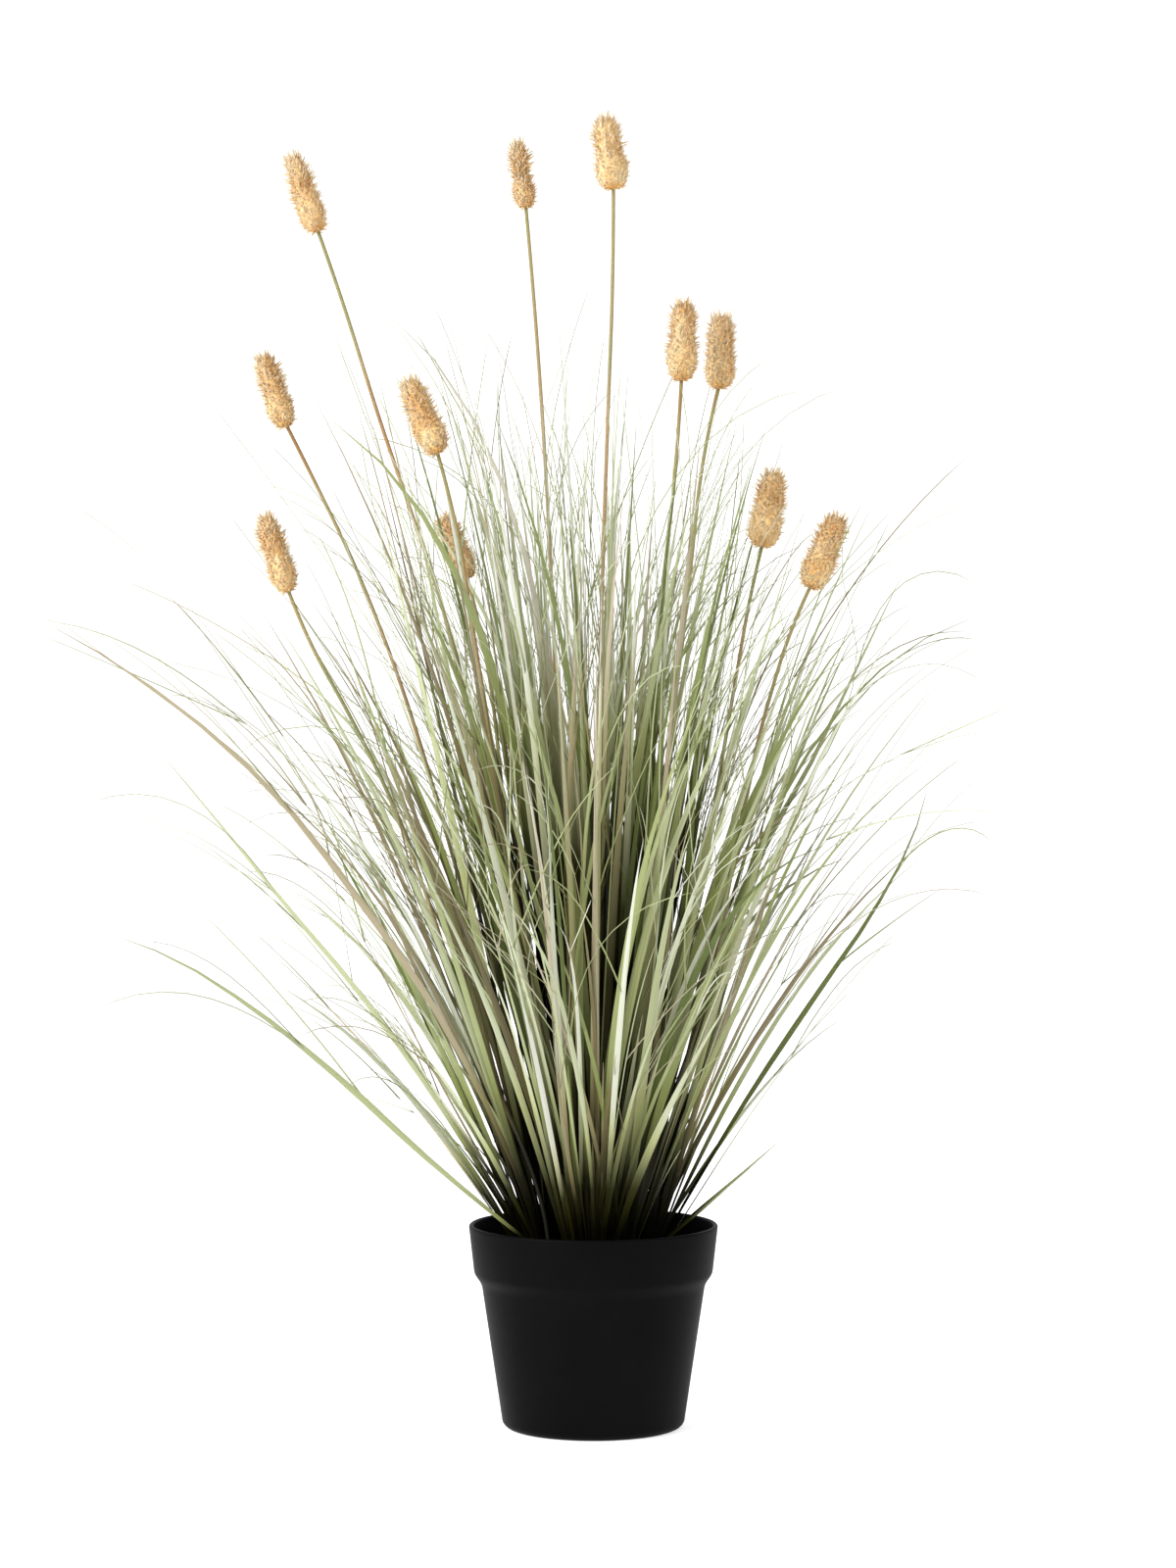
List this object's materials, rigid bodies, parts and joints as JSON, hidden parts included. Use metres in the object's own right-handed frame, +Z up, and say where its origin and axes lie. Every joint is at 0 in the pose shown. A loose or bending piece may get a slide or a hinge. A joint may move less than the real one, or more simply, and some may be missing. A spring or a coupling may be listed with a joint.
{
  "type": "potted bunny tail grass",
  "caption": "Clump of narrow grass blades with split thread-like ends and fuzzy seed heads on thin stems, standing in a round collared pot with a flat underside.",
  "frame": {"origin": "centre of the pot's flat underside", "axes": "+Z up along the pot's axis, -Y towards the front of the plant, +X to the right"},
  "size_m": [0.441, 0.3927, 0.6298],
  "materials": {
    "pot": "matte",
    "soil": "matte",
    "green_blade": "matte",
    "brown_blade": "matte",
    "stem": "matte",
    "seed_head": "matte"
  },
  "bodies": {
    "root": {"head_01": "seed_head", "head_02": "seed_head", "head_03": "seed_head", "head_04": "seed_head", "head_05": "seed_head", "head_06": "seed_head", "head_07": "seed_head", "head_08": "seed_head", "head_09": "seed_head", "head_10": "seed_head", "head_11": "seed_head", "pot": "pot", "soil": "soil", "stem_01": "stem", "stem_02": "stem", "stem_03": "stem", "stem_04": "stem", "stem_05": "stem", "stem_06": "stem", "stem_07": "stem", "stem_08": "stem", "stem_09": "stem", "stem_10": "stem", "stem_11": "stem", "tuft_brown_01": "brown_blade", "tuft_brown_02": "brown_blade", "tuft_brown_03": "brown_blade", "tuft_brown_04": "brown_blade", "tuft_brown_05": "brown_blade", "tuft_brown_06": "brown_blade", "tuft_brown_07": "brown_blade", "tuft_green_01": "green_blade", "tuft_green_02": "green_blade", "tuft_green_03": "green_blade", "tuft_green_04": "green_blade", "tuft_green_05": "green_blade", "tuft_green_06": "green_blade", "tuft_green_07": "green_blade", "tuft_green_08": "green_blade", "tuft_green_09": "green_blade", "tuft_green_10": "green_blade", "tuft_green_11": "green_blade", "tuft_green_12": "green_blade", "tuft_green_13": "green_blade", "tuft_green_14": "green_blade", "tuft_green_15": "green_blade", "tuft_green_16": "green_blade", "tuft_green_17": "green_blade", "tuft_green_18": "green_blade", "tuft_green_19": "green_blade", "tuft_green_20": "green_blade", "tuft_green_21": "green_blade"}
  },
  "joints": []
}
